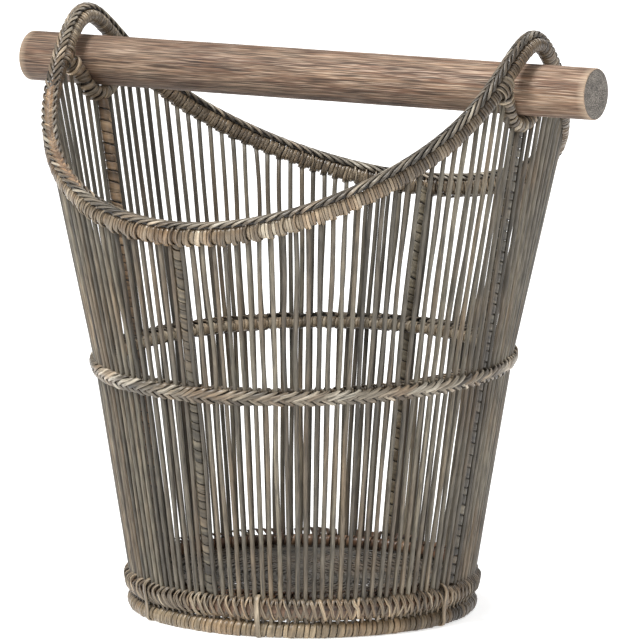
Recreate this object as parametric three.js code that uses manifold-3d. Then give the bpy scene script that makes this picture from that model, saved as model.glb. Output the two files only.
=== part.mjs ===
// Rattan basket with a loose wooden carrying rod, in millimetres.
// +Z is up, X runs along the carrying rod and -Y is the front.
// The origin lies on the floor below the centre.
import * as THREE from "three";
import { mergeVertices } from "three/addons/utils/BufferGeometryUtils.js";
import Module from "manifold-3d";

const wasm = await Module();
wasm.setup();

// Gap between two pieces that touch on the real basket
const CLEARANCE = 0.3;

// Wall: upright rods, evenly spread over each quarter between two posts
const ROD_DIAMETER = 3.8;
const RODS_PER_QUARTER = 32;
const RODS_PER_PANEL = 4;
const FOOT_RADIUS = 131.5; // wall line, extended down to the floor
const WAIST_RADIUS = 163.5; // wall line at the waist hoop
const WAIST_HEIGHT = 199;
const WAIST_TILT = 0.046; // rise of the waist ring per mm towards the back

// Rim curve: an oval in plan, low at the front and back, rising to an arched ear at each end
const RIM_FRONT_RADIUS = 188.5;
const RIM_EAR_RADIUS = 206;
const RIM_LOW_HEIGHT = 316.5;
const RIM_SADDLE_RISE = 120;
const RIM_SADDLE_ROUNDING = 22;
const EAR_ARCH_RISE = 14.5; // from the top of the carrying rod to the rim hoop's centre line
const EAR_ARCH_HALF_WIDTH = 52;
const RIM_HOOP_DIAMETER = 10.5;
const RIM_BRAID_WIDTH = 12;
const RIM_BRAID_THICKNESS = 5.5;

// Posts: four cane-wrapped canes, each between two rods and a little behind them
const POST_DIAMETER = 8.6;
const POST_INSET = 3.5;
const POST_FLANK = 5.9; // from a post's centre line to the rods beside it

// Waist
const WAIST_HOOP_DIAMETER = 9;
const WAIST_BRAID_HEIGHT = 12.5;
const WAIST_BRAID_THICKNESS = 3.5;
const LACING_HEIGHT = 5;

// Foot and floor
const FOOT_RING_DIAMETER = 12.6;
const FOOT_FLAT_DEPTH = 0.5;
const BRACE_THICKNESS = 6;
const BRACE_WIDTH = 14;
const BRACE_SPACING = 72;
const FLOOR_THICKNESS = 4.5;
const BASE_HOOP_DIAMETER = 9;
const BASE_BRAID_BOTTOM = 15.2;
const BASE_BRAID_HEIGHT = 16.3;
const BASE_BRAID_THICKNESS = 4.6;

// Carrying rod and the cradles it lies in
const HANDLE_DIAMETER = 40;
const HANDLE_LENGTH = 520;
const HANDLE_HEIGHT = 424; // centre line
const HANDLE_EDGE_RADIUS = 1.2;
const CRADLE_DIAMETER = 11;
const CRADLE_INSET = 4; // from the wall line to the cradle's centre line
const CRADLE_PLAY = 0.5; // between carrying rod and cradle
const CRADLE_WRAP = 70; // degrees that the cradle follows the rod, each way from the bottom
const CRADLE_JOIN = 12; // degrees from the ear's middle to where a cradle arm meets the rim

// Facets
const RING_SEGMENTS = 48;
const RIM_STEPS_PER_QUARTER = 16;
const RIM_STEP_CROWDING = 1.4; // above 1, the rim's steps draw together at the ears
const STOP_SPACING = 1; // between the points on the lines that rods and posts end below
const TUBE_SIDES = 7;
const HANDLE_SIDES = 24;
const ROD_SIDES = 5;

const rodRadius = ROD_DIAMETER / 2;
const rimHoopRadius = RIM_HOOP_DIAMETER / 2;
const postRadius = POST_DIAMETER / 2;
const waistHoopRadius = WAIST_HOOP_DIAMETER / 2;
const footRingRadius = FOOT_RING_DIAMETER / 2;
const baseHoopRadius = BASE_HOOP_DIAMETER / 2;
const handleRadius = HANDLE_DIAMETER / 2;
const archRise = HANDLE_HEIGHT + handleRadius + EAR_ARCH_RISE - RIM_LOW_HEIGHT - RIM_SADDLE_RISE;
const cradleRadius = CRADLE_DIAMETER / 2;

const footRingTop = FOOT_RING_DIAMETER - FOOT_FLAT_DEPTH;
const rodBottom = footRingTop + CLEARANCE;
const braceBottom = footRingTop + CLEARANCE;
const floorBottom = braceBottom + BRACE_THICKNESS + CLEARANCE;
const floorTop = floorBottom + FLOOR_THICKNESS;
const baseHoopHeight = floorTop + CLEARANCE + baseHoopRadius;
const postBottom = baseHoopHeight + baseHoopRadius + CLEARANCE;
const postInnerInset = POST_INSET + postRadius;

const material = (color, roughness) => new THREE.MeshStandardMaterial({ color, roughness, metalness: 0 });
const weatheredRattan = () => material(0x857c69, 0.7);
const wrappedCane = () => material(0x8f8069, 0.6);
const plaitedCane = () => material(0x8a7a61, 0.62);
const wovenFloor = () => material(0x5c5850, 0.8);
const limedWood = () => material(0x9b8069, 0.65);

const group = new THREE.Group();

function addMesh(name, geometry, meshMaterial) {
  const mesh = new THREE.Mesh(geometry, meshMaterial);
  mesh.name = name;
  group.add(mesh);
  return mesh;
}

// Radius of the wall line below the waist
function wallRadius(height) {
  return FOOT_RADIUS + ((WAIST_RADIUS - FOOT_RADIUS) * height) / WAIST_HEIGHT;
}

// Tilts a level ring at the waist so that it sits lower at the front than at the back
function tiltWaist(geometry) {
  return geometry.applyMatrix4(new THREE.Matrix4().makeShear(0, 0, 0, WAIST_TILT, 0, 0));
}

// The rim hoop's centre line at a bearing, where 0 is the middle of the right ear
function rimPoint(bearing) {
  const radius = RIM_FRONT_RADIUS + (RIM_EAR_RADIUS - RIM_FRONT_RADIUS) * Math.cos(bearing) ** 2;
  const side = radius * Math.sin(bearing);
  const fall = (distance) => Math.hypot(distance, RIM_SADDLE_ROUNDING) - RIM_SADDLE_ROUNDING;
  const saddle = RIM_SADDLE_RISE * (1 - fall(side) / fall(RIM_FRONT_RADIUS));
  const arch = archRise * Math.exp(-((side / EAR_ARCH_HALF_WIDTH) ** 2));
  return new THREE.Vector3(radius * Math.cos(bearing), side, RIM_LOW_HEIGHT + saddle + arch);
}

function rimTangent(bearing) {
  const step = 1e-4;
  return rimPoint(bearing + step).sub(rimPoint(bearing - step)).normalize();
}

// The rim's direction away from the rods, in the wall's surface
function rimUp(bearing) {
  const outward = new THREE.Vector3(Math.cos(bearing), Math.sin(bearing), 0);
  return outward.cross(rimTangent(bearing)).normalize();
}

// Bearings round the rim, closer together at the ears
const rimBearings = [];
for (let quarter = 0; quarter < 4; quarter++) {
  for (let step = 0; step < RIM_STEPS_PER_QUARTER; step++) {
    const share = step / RIM_STEPS_PER_QUARTER;
    const fromEar = quarter % 2 === 0 ? share ** RIM_STEP_CROWDING : 1 - (1 - share) ** RIM_STEP_CROWDING;
    rimBearings.push(((quarter + fromEar) * Math.PI) / 2);
  }
}

// Joins rings of points into one closed surface: a closed ring of rings, or a run with two end caps
function skin(rings, closed) {
  const count = rings[0].length;
  const positions = rings.flat().flatMap((point) => [point.x, point.y, point.z]);
  const index = [];
  const spans = closed ? rings.length : rings.length - 1;
  for (let i = 0; i < spans; i++) {
    const here = i * count;
    const next = ((i + 1) % rings.length) * count;
    for (let j = 0; j < count; j++) {
      const k = (j + 1) % count;
      index.push(here + j, here + k, next + k, here + j, next + k, next + j);
    }
  }
  if (!closed) {
    const last = (rings.length - 1) * count;
    for (let j = 1; j < count - 1; j++) {
      index.push(0, j + 1, j, last, last + j, last + j + 1);
    }
  }
  const geometry = new THREE.BufferGeometry();
  geometry.setAttribute("position", new THREE.Float32BufferAttribute(positions, 3));
  geometry.setIndex(index);
  geometry.computeVertexNormals();
  return geometry;
}

// A ring of points round a centre, square to a direction
function roundRing(centre, direction, side, radius, sides) {
  const forward = direction.clone().normalize();
  const across = side.clone().addScaledVector(forward, -side.dot(forward)).normalize();
  const up = forward.clone().cross(across);
  const ring = [];
  for (let i = 0; i < sides; i++) {
    const turn = ((i + 0.5) / sides) * 2 * Math.PI;
    ring.push(
      centre
        .clone()
        .addScaledVector(across, radius * Math.cos(turn))
        .addScaledVector(up, radius * Math.sin(turn)),
    );
  }
  return ring;
}

// A round bar through a list of points, mitred where it bends
function bar(points, radius, sides, side) {
  const rings = points.map((point, i) => {
    const before = points[Math.max(i - 1, 0)];
    const after = points[Math.min(i + 1, points.length - 1)];
    return roundRing(point, after.clone().sub(before), side, radius, sides);
  });
  return skin(rings, false);
}

// A closed ring of revolution about Z from an outline of [radius, height] pairs
function revolve(outline, segments) {
  const profile = [...outline, outline[0]].map(([radius, height]) => new THREE.Vector2(radius, height));
  return new THREE.LatheGeometry(profile, segments).rotateX(Math.PI / 2);
}

function circleOutline(radius, height, tubeRadius, sides) {
  const outline = [];
  for (let i = 0; i < sides; i++) {
    const turn = ((i + 0.5) / sides) * 2 * Math.PI;
    outline.push([radius + tubeRadius * Math.cos(turn), height + tubeRadius * Math.sin(turn)]);
  }
  return outline;
}

// A band outside the rods, with rounded corners, that follows the wall's slope
function bandOutline(bottom, height, thickness) {
  const facetReach = 1 / Math.cos(Math.PI / RING_SEGMENTS);
  const inner = (z) => (wallRadius(z) + rodRadius + CLEARANCE) * facetReach;
  const corner = thickness / 2;
  const top = bottom + height;
  return [
    [inner(bottom), bottom],
    [inner(bottom + corner) + thickness, bottom + corner],
    [inner(top - corner) + thickness, top - corner],
    [inner(top), top],
  ];
}

// Solids for cutting and joining
function solidOf(geometry) {
  const bare = new THREE.BufferGeometry();
  bare.setAttribute("position", geometry.getAttribute("position"));
  bare.setIndex(geometry.getIndex());
  const merged = mergeVertices(bare, 1e-4);
  return new wasm.Manifold(
    new wasm.Mesh({
      numProp: 3,
      vertProperties: merged.getAttribute("position").array,
      triVerts: new Uint32Array(merged.getIndex().array),
    }),
  );
}

function geometryOf(solid) {
  const mesh = solid.getMesh();
  const geometry = new THREE.BufferGeometry();
  geometry.setAttribute("position", new THREE.BufferAttribute(mesh.vertProperties, 3));
  geometry.setIndex(new THREE.BufferAttribute(mesh.triVerts, 1));
  geometry.computeVertexNormals();
  return geometry;
}

function largestPiece(solid) {
  return solid.decompose().reduce((a, b) => (a.volume() > b.volume() ? a : b));
}

// Foot ring, cut flat where it stands
function footRing() {
  const outline = [];
  const centre = footRingRadius - FOOT_FLAT_DEPTH;
  const flatTurn = Math.acos(centre / footRingRadius);
  const arcSteps = 7;
  for (let i = 0; i <= arcSteps; i++) {
    const turn = -Math.PI / 2 + flatTurn + (i / arcSteps) * 2 * (Math.PI - flatTurn);
    const height = Math.max(centre + footRingRadius * Math.sin(turn), 0);
    outline.push([wallRadius(centre) + footRingRadius * Math.cos(turn), height]);
  }
  addMesh("foot_ring", revolve(outline, RING_SEGMENTS), wrappedCane());
}

// Slats under the floor, lying on the foot ring
function floorBraces() {
  ["front", "middle", "back"].forEach((place, i) => {
    const y = (i - 1) * BRACE_SPACING;
    const reach = wallRadius(braceBottom) - rodRadius - CLEARANCE;
    const outerEdge = Math.abs(y) + BRACE_WIDTH / 2;
    const halfLength = Math.sqrt(reach ** 2 - outerEdge ** 2);
    const slat = new THREE.BoxGeometry(2 * halfLength, BRACE_WIDTH, BRACE_THICKNESS);
    const mesh = addMesh("floor_brace_" + place, slat, weatheredRattan());
    mesh.position.set(0, y, braceBottom + BRACE_THICKNESS / 2);
  });
}

function floorMat() {
  const radius = wallRadius(floorBottom) - rodRadius - CLEARANCE;
  const mat = new THREE.CylinderGeometry(radius, radius, FLOOR_THICKNESS, RING_SEGMENTS).rotateX(Math.PI / 2);
  addMesh("floor_mat", mat, wovenFloor()).position.z = floorBottom + FLOOR_THICKNESS / 2;
}

function baseHoop() {
  const radius = wallRadius(baseHoopHeight) - rodRadius - CLEARANCE - baseHoopRadius;
  const outline = circleOutline(radius, baseHoopHeight, baseHoopRadius, TUBE_SIDES);
  addMesh("base_hoop", revolve(outline, RING_SEGMENTS), wrappedCane());
}

function baseBraid() {
  const outline = bandOutline(BASE_BRAID_BOTTOM, BASE_BRAID_HEIGHT, BASE_BRAID_THICKNESS);
  addMesh("base_braid", revolve(outline, RING_SEGMENTS), plaitedCane());
}

function waistBraid() {
  const bottom = WAIST_HEIGHT - WAIST_BRAID_HEIGHT / 2;
  const outline = bandOutline(bottom, WAIST_BRAID_HEIGHT, WAIST_BRAID_THICKNESS);
  addMesh("waist_braid", tiltWaist(revolve(outline, RING_SEGMENTS)), plaitedCane());
}

const waistHoopLine = WAIST_RADIUS - postInnerInset - CLEARANCE - waistHoopRadius;

function waistHoop() {
  const outline = circleOutline(waistHoopLine, WAIST_HEIGHT, waistHoopRadius, TUBE_SIDES);
  addMesh("waist_hoop", tiltWaist(revolve(outline, RING_SEGMENTS)), wrappedCane());
}

function rimHoopGeometry(radius) {
  const rings = rimBearings.map((bearing) =>
    roundRing(rimPoint(bearing), rimTangent(bearing), rimUp(bearing), radius, TUBE_SIDES),
  );
  return skin(rings, true);
}

function rimHoop() {
  addMesh("rim_hoop", rimHoopGeometry(rimHoopRadius), wrappedCane());
}

// Plait that lies on the rim hoop, on the side away from the rods
function rimBraid() {
  const halfWidth = RIM_BRAID_WIDTH / 2;
  const edge = RIM_BRAID_THICKNESS / 2;
  const bottom = rimHoopRadius + CLEARANCE;
  const section = [
    [-halfWidth + edge, bottom],
    [halfWidth - edge, bottom],
    [halfWidth, bottom + edge],
    [halfWidth - edge, bottom + RIM_BRAID_THICKNESS],
    [-halfWidth + edge, bottom + RIM_BRAID_THICKNESS],
    [-halfWidth, bottom + edge],
  ];
  const rings = rimBearings.map((bearing) => {
    const up = rimUp(bearing);
    const inward = up.clone().cross(rimTangent(bearing));
    return section.map(([across, above]) =>
      rimPoint(bearing).addScaledVector(inward, across).addScaledVector(up, above),
    );
  });
  addMesh("rim_braid", skin(rings, true), plaitedCane());
}

// Cradle: a bar under the carrying rod that joins the two legs of an ear
const cradleBend = handleRadius + CRADLE_PLAY + cradleRadius;
const wallSlopeAtEar = (RIM_EAR_RADIUS - WAIST_RADIUS) / (rimPoint(0).z - WAIST_HEIGHT);

// The cradle leans outward with the wall
function cradleRadiusAt(height) {
  return WAIST_RADIUS + wallSlopeAtEar * (height - WAIST_HEIGHT) - CRADLE_INSET;
}

function cradlePath() {
  const wrap = THREE.MathUtils.degToRad(CRADLE_WRAP);
  const arcSteps = 10;
  const points = [];
  for (let i = 0; i <= arcSteps; i++) {
    const turn = -wrap + (i / arcSteps) * 2 * wrap;
    const height = HANDLE_HEIGHT - cradleBend * Math.cos(turn);
    points.push(new THREE.Vector3(cradleRadiusAt(height), cradleBend * Math.sin(turn), height));
  }
  const join = THREE.MathUtils.degToRad(CRADLE_JOIN);
  points.unshift(rimPoint(-join));
  points.push(rimPoint(join));
  return points;
}

function cradle(name, facing) {
  const path = cradlePath();
  const radial = new THREE.Vector3(1, 0, 0);
  const rod = solidOf(bar(path, cradleRadius, TUBE_SIDES, radial));
  const rim = solidOf(rimHoopGeometry(rimHoopRadius + CLEARANCE));
  const solid = largestPiece(rod.subtract(rim));
  addMesh(name, geometryOf(solid), wrappedCane()).rotation.z = facing;
}

// Bearing of a rod at a distance from the axis: the rods beside a post keep clear of it all the way up
function rodBearing(quarter, number, radius) {
  const flank = POST_FLANK / radius;
  const share = number / (RODS_PER_QUARTER - 1);
  return (quarter * Math.PI) / 2 + flank + (Math.PI / 2 - 2 * flank) * share;
}

function onWall(radius, bearing, height) {
  return new THREE.Vector3(radius * Math.cos(bearing), radius * Math.sin(bearing), height);
}

// Where the wall bends over the waist ring
function onWaist(bearing) {
  const level = onWall(WAIST_RADIUS, bearing, WAIST_HEIGHT);
  return level.setZ(WAIST_HEIGHT + WAIST_TILT * level.y);
}

// Length at which a straight line runs into the tube round a curve
function lengthToTube(start, direction, curve, reach) {
  let length = Infinity;
  for (const point of curve) {
    const offset = point.clone().sub(start);
    const along = offset.dot(direction);
    const aside = offset.addScaledVector(direction, -along).length();
    if (aside < reach) length = Math.min(length, along - Math.sqrt(reach ** 2 - aside ** 2));
  }
  return length;
}

// Points close together along the rim and both cradles, which the rods end below
function denseCurve(points, spacing) {
  const dense = [];
  points.slice(1).forEach((end, i) => {
    const steps = Math.ceil(points[i].distanceTo(end) / spacing);
    for (let step = 0; step < steps; step++) dense.push(points[i].clone().lerp(end, step / steps));
  });
  return dense;
}

const rimLine = [...rimBearings, 2 * Math.PI].map(rimPoint);
const rightCradleLine = cradlePath();
const leftCradleLine = rightCradleLine.map((point) => new THREE.Vector3(-point.x, -point.y, point.z));
const rimStops = denseCurve(rimLine, STOP_SPACING);
const cradleStops = [rightCradleLine, leftCradleLine].flatMap((line) => denseCurve(line, STOP_SPACING));

// Where a bar that rises from the waist towards a target ends, seated under the rim or a cradle
function topOf(waist, target, barRadius, sides, outward) {
  const direction = target.clone().sub(waist).normalize();
  const edge = roundRing(waist, direction, outward, barRadius, sides);
  const lengths = [waist, ...edge].flatMap((start) => [
    lengthToTube(start, direction, rimStops, rimHoopRadius + CLEARANCE),
    lengthToTube(start, direction, cradleStops, cradleRadius + CLEARANCE),
  ]);
  return waist.clone().addScaledVector(direction, Math.min(...lengths));
}

function rodPoints(quarter, number, outward) {
  const bottomRadius = wallRadius(rodBottom);
  const topBearing = rodBearing(quarter, number, RIM_EAR_RADIUS);
  const waist = onWaist(rodBearing(quarter, number, WAIST_RADIUS));
  return [
    onWall(bottomRadius, rodBearing(quarter, number, bottomRadius), rodBottom),
    waist,
    topOf(waist, rimPoint(topBearing), rodRadius, ROD_SIDES, outward),
  ];
}

// Cane lacing that ties a panel's rods to each other, between the rods and the waist hoop
function lacing(firstBearing, lastBearing) {
  const innerRadius = waistHoopLine + waistHoopRadius + CLEARANCE;
  const overhang = (POST_FLANK - postRadius - CLEARANCE) / WAIST_RADIUS;
  const start = firstBearing - overhang;
  const end = lastBearing + overhang;
  const outline = new THREE.Shape();
  outline.absarc(0, 0, WAIST_RADIUS, start, end, false);
  outline.absarc(0, 0, innerRadius, end, start, true);
  const strip = new THREE.ExtrudeGeometry(outline, {
    depth: LACING_HEIGHT,
    bevelEnabled: false,
    curveSegments: 1,
  });
  return tiltWaist(strip.translate(0, 0, WAIST_HEIGHT - LACING_HEIGHT / 2));
}

function rodPanel(name, quarter, firstRod) {
  let solid = null;
  const bearings = [];
  for (let number = firstRod; number < firstRod + RODS_PER_PANEL; number++) {
    const bearing = rodBearing(quarter, number, WAIST_RADIUS);
    bearings.push(bearing);
    const outward = new THREE.Vector3(Math.cos(bearing), Math.sin(bearing), 0);
    const rod = solidOf(bar(rodPoints(quarter, number, outward), rodRadius, ROD_SIDES, outward));
    solid = solid ? solid.add(rod) : rod;
  }
  solid = solid.add(solidOf(lacing(bearings[0], bearings.at(-1))));
  addMesh(name, geometryOf(solid), weatheredRattan());
}

function rodPanels() {
  const panelsPerQuarter = RODS_PER_QUARTER / RODS_PER_PANEL;
  for (let panel = 0; panel < 4 * panelsPerQuarter; panel++) {
    const quarter = Math.floor(panel / panelsPerQuarter);
    const firstRod = (panel % panelsPerQuarter) * RODS_PER_PANEL;
    rodPanel("rod_panel_" + String(panel + 1).padStart(2, "0"), quarter, firstRod);
  }
}

// Upright posts between base hoop and cradle, or base hoop and rim
function post(name, quarter) {
  const bearing = (quarter * Math.PI) / 2;
  const outward = new THREE.Vector3(Math.cos(bearing), Math.sin(bearing), 0);
  const inset = (point) => point.addScaledVector(outward, -POST_INSET);
  const bottom = inset(onWall(wallRadius(postBottom), bearing, postBottom));
  const waist = inset(onWaist(bearing));
  const top = topOf(waist, inset(rimPoint(bearing)), postRadius, TUBE_SIDES, outward);
  addMesh(name, bar([bottom, waist, top], postRadius, TUBE_SIDES, outward), wrappedCane());
}

// Carrying rod with rounded end edges
function handle() {
  const half = HANDLE_LENGTH / 2;
  const edgeSteps = 2;
  const profile = [new THREE.Vector2(0, -half)];
  for (const end of [-1, 1]) {
    for (let step = 0; step <= edgeSteps; step++) {
      const turn = ((end < 0 ? step : edgeSteps - step) / edgeSteps) * (Math.PI / 2);
      profile.push(
        new THREE.Vector2(
          handleRadius - HANDLE_EDGE_RADIUS * (1 - Math.sin(turn)),
          end * (half - HANDLE_EDGE_RADIUS * (1 - Math.cos(turn))),
        ),
      );
    }
  }
  profile.push(new THREE.Vector2(0, half));
  const rod = new THREE.LatheGeometry(profile, HANDLE_SIDES).rotateZ(-Math.PI / 2);
  addMesh("handle", rod, limedWood()).position.z = HANDLE_HEIGHT;
}

footRing();
floorBraces();
floorMat();
baseHoop();
baseBraid();
rodPanels();
post("post_right", 0);
post("post_back", 1);
post("post_left", 2);
post("post_front", 3);
waistHoop();
waistBraid();
rimHoop();
rimBraid();
cradle("cradle_right", 0);
cradle("cradle_left", Math.PI);
handle();

export default group;
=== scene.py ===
import math
from collections import namedtuple

import bpy
import numpy as np
from mathutils import Matrix, Vector


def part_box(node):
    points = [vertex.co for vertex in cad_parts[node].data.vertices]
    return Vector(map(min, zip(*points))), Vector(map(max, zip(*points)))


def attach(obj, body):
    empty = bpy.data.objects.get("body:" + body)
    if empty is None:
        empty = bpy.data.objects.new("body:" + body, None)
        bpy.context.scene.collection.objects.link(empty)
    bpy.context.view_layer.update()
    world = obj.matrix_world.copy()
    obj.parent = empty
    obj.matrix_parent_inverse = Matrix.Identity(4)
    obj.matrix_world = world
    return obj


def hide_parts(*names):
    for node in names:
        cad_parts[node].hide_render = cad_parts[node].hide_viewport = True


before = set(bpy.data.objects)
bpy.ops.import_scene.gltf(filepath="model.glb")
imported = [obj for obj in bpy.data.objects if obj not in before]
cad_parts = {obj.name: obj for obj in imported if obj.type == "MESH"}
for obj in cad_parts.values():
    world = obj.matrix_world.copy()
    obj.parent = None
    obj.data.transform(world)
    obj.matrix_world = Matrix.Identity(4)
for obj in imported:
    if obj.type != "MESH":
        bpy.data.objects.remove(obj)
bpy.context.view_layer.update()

MM = 0.001
FULL_TURN = 2 * math.pi
GOLDEN_SHARE = 0.618034

# The same sizes as the solids have
CLEARANCE = 0.3
ROD_DIAMETER = 3.8
RODS_PER_QUARTER = 32
RODS_PER_PANEL = 4
FOOT_RADIUS = 131.5
WAIST_RADIUS = 163.5
WAIST_HEIGHT = 199.0
WAIST_TILT = 0.046
RIM_FRONT_RADIUS = 188.5
RIM_EAR_RADIUS = 206.0
RIM_LOW_HEIGHT = 316.5
RIM_SADDLE_RISE = 120.0
RIM_SADDLE_ROUNDING = 22.0
EAR_ARCH_RISE = 14.5
EAR_ARCH_HALF_WIDTH = 52.0
RIM_HOOP_DIAMETER = 10.5
RIM_BRAID_WIDTH = 12.0
RIM_BRAID_THICKNESS = 5.5
POST_DIAMETER = 8.6
POST_INSET = 3.5
POST_FLANK = 5.9
WAIST_HOOP_DIAMETER = 9.0
FOOT_RING_DIAMETER = 12.6
FOOT_FLAT_DEPTH = 0.5
BRACE_THICKNESS = 6.0
BRACE_WIDTH = 14.0
BRACE_SPACING = 72.0
FLOOR_THICKNESS = 4.5
BASE_HOOP_DIAMETER = 9.0
BASE_BRAID_BOTTOM = 15.2
BASE_BRAID_HEIGHT = 16.3
HANDLE_HEIGHT = 424.0
HANDLE_EDGE_RADIUS = 1.2
CRADLE_DIAMETER = 11.0
CRADLE_INSET = 4.0
CRADLE_PLAY = 0.5
CRADLE_WRAP = 70.0
CRADLE_JOIN = 12.0

handle_low, handle_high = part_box("handle")
HANDLE_LENGTH = (handle_high.x - handle_low.x) / MM
HANDLE_DIAMETER = (handle_high.z - handle_low.z) / MM
ARCH_RISE = HANDLE_HEIGHT + HANDLE_DIAMETER / 2 + EAR_ARCH_RISE - RIM_LOW_HEIGHT - RIM_SADDLE_RISE

STAKES = 4 * (RODS_PER_QUARTER + 1)
ROD_FACE = ROD_DIAMETER / 2 + CLEARANCE
FOOT_RING_TOP = FOOT_RING_DIAMETER - FOOT_FLAT_DEPTH
ROD_BOTTOM = FOOT_RING_TOP + CLEARANCE
FLOOR_BOTTOM = ROD_BOTTOM + BRACE_THICKNESS + CLEARANCE
FLOOR_TOP = FLOOR_BOTTOM + FLOOR_THICKNESS
BASE_HOOP_HEIGHT = FLOOR_TOP + CLEARANCE + BASE_HOOP_DIAMETER / 2
BASE_BRAID_TOP = BASE_BRAID_BOTTOM + BASE_BRAID_HEIGHT
POST_BOTTOM = BASE_HOOP_HEIGHT + BASE_HOOP_DIAMETER / 2 + CLEARANCE
WAIST_HOOP_LINE = WAIST_RADIUS - POST_INSET - POST_DIAMETER / 2 - CLEARANCE - WAIST_HOOP_DIAMETER / 2
RIM_HOOP_RADIUS = RIM_HOOP_DIAMETER / 2
RIM_BRAID_BED = RIM_HOOP_RADIUS + CLEARANCE

# Camera, fitted to the photograph's outline
CAMERA_DISTANCE = 4.376
CAMERA_AZIMUTH = 31.65
CAMERA_ELEVATION = 8.378
CAMERA_ROLL = 0.4
CAMERA_LENS = 311.3
AIM_HEIGHT = 228.8
AIM_SHIFT = (10.5, 7.0)


def unit(arrows):
    return arrows / np.linalg.norm(arrows, axis=-1, keepdims=True)


def vectors(x, y, z):
    return np.stack(np.broadcast_arrays(x, y, z), axis=-1).astype(float)


def polar(bearing, radius, height):
    return vectors(radius * np.cos(bearing), radius * np.sin(bearing), height)


def radial(bearing):
    return polar(bearing, 1.0, 0.0)


UP = vectors(0, 0, 1)


# Curves of the solids


def wall_radius(height):
    return FOOT_RADIUS + (WAIST_RADIUS - FOOT_RADIUS) * height / WAIST_HEIGHT


def waist_rise(bearing, radius=WAIST_RADIUS):
    return WAIST_TILT * radius * np.sin(bearing)


def rim_point(bearing):
    radius = RIM_FRONT_RADIUS + (RIM_EAR_RADIUS - RIM_FRONT_RADIUS) * np.cos(bearing) ** 2
    side = radius * np.sin(bearing)

    def fall(distance):
        return np.hypot(distance, RIM_SADDLE_ROUNDING) - RIM_SADDLE_ROUNDING

    saddle = RIM_SADDLE_RISE * (1 - fall(side) / fall(RIM_FRONT_RADIUS))
    arch = ARCH_RISE * np.exp(-((side / EAR_ARCH_HALF_WIDTH) ** 2))
    return polar(bearing, radius, RIM_LOW_HEIGHT + saddle + arch)


def rod_bearing(quarter, number, radius):
    flank = POST_FLANK / radius
    share = number / (RODS_PER_QUARTER - 1)
    return quarter * math.pi / 2 + flank + (math.pi / 2 - 2 * flank) * share


def stake_bearings(radius):
    """Bearings of every post and rod in turn at a distance from the axis."""
    bearings = []
    for quarter in range(4):
        bearings.append(quarter * math.pi / 2)
        bearings.extend(rod_bearing(quarter, number, radius) for number in range(RODS_PER_QUARTER))
    return np.array(bearings)


waist_stakes = stake_bearings(WAIST_RADIUS)
three_turns = np.concatenate([waist_stakes - FULL_TURN, waist_stakes, waist_stakes + FULL_TURN])


def stake_to_bearing(position):
    """Bearing at a place counted in stakes: whole numbers lie on a stake."""
    return np.interp(position, np.arange(-STAKES, 2 * STAKES), three_turns)


class Line:
    """A centre line with a side that counts as out, measured by the length along it."""

    def __init__(self, points, out, closed=False):
        if closed:
            points = np.vstack([points, points[:1]])
            out = np.vstack([out, out[:1]])
            tangents = np.gradient(np.vstack([points[-2], points, points[1]]), axis=0)[1:-1]
        else:
            tangents = np.gradient(points, axis=0)
        steps = np.linalg.norm(np.diff(points, axis=0), axis=1)
        self.marks = np.concatenate([[0.0], np.cumsum(steps)])
        self.length = self.marks[-1]
        self.closed = closed
        self.points = points
        self.tangents = unit(tangents)
        self.out = unit(out - self.tangents * np.sum(out * self.tangents, axis=1, keepdims=True))

    def at(self, along):
        """Points on the line, with the directions out of it and across it."""
        along = np.mod(along, self.length) if self.closed else along
        point, tangent, out = (
            np.stack([np.interp(along, self.marks, table[:, axis]) for axis in range(3)], axis=-1)
            for table in (self.points, self.tangents, self.out)
        )
        out = unit(out)
        return point, out, np.cross(out, unit(tangent))


def ring_line(radius, height, tilted=False, samples=720):
    bearings = np.linspace(0, FULL_TURN, samples, endpoint=False)
    rise = waist_rise(bearings, radius) if tilted else 0.0
    return Line(polar(bearings, radius, height + rise), radial(bearings), closed=True)


def rim_out(bearings):
    step = 1e-4
    tangents = unit(rim_point(bearings + step) - rim_point(bearings - step))
    return unit(np.cross(radial(bearings), tangents))


RIM_SAMPLES = 2400
rim_bearings = np.linspace(0, FULL_TURN, RIM_SAMPLES + 1)
rim_line = Line(rim_point(rim_bearings[:-1]), rim_out(rim_bearings[:-1]), closed=True)


def rim_along(bearing):
    """Length along the rim at a bearing."""
    turns, rest = np.divmod(bearing, FULL_TURN)
    return turns * rim_line.length + np.interp(rest, rim_bearings, rim_line.marks)


def rim_bearing(along):
    """Bearing of a place along the rim."""
    return np.interp(np.mod(along, rim_line.length), rim_line.marks, rim_bearings)


def cradle_points():
    """The right cradle's centre line: down from the rim, round below the carrying rod and up again."""
    bend = HANDLE_DIAMETER / 2 + CRADLE_PLAY + CRADLE_DIAMETER / 2
    slope = (RIM_EAR_RADIUS - WAIST_RADIUS) / (rim_point(0.0)[2] - WAIST_HEIGHT)
    turn = np.radians(np.linspace(-CRADLE_WRAP, CRADLE_WRAP, 41))
    height = HANDLE_HEIGHT - bend * np.cos(turn)
    line = WAIST_RADIUS + slope * (height - WAIST_HEIGHT) - CRADLE_INSET
    arc = vectors(line, bend * np.sin(turn), height)
    ends = rim_point(np.radians([-CRADLE_JOIN, CRADLE_JOIN]))
    arm = np.linspace(0, 1, 12)[:-1, None]
    first = ends[0] + (arc[0] - ends[0]) * arm
    last = (ends[1] + (arc[-1] - ends[1]) * arm)[::-1]
    return np.vstack([first, arc, last])


# Strands

Section = namedtuple("Section", "x y v")


def round_section(sides):
    turn = np.arange(sides) / sides * FULL_TURN
    return Section(-np.cos(turn), 0.5 * np.sin(turn), np.arange(sides + 1) / sides)


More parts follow.
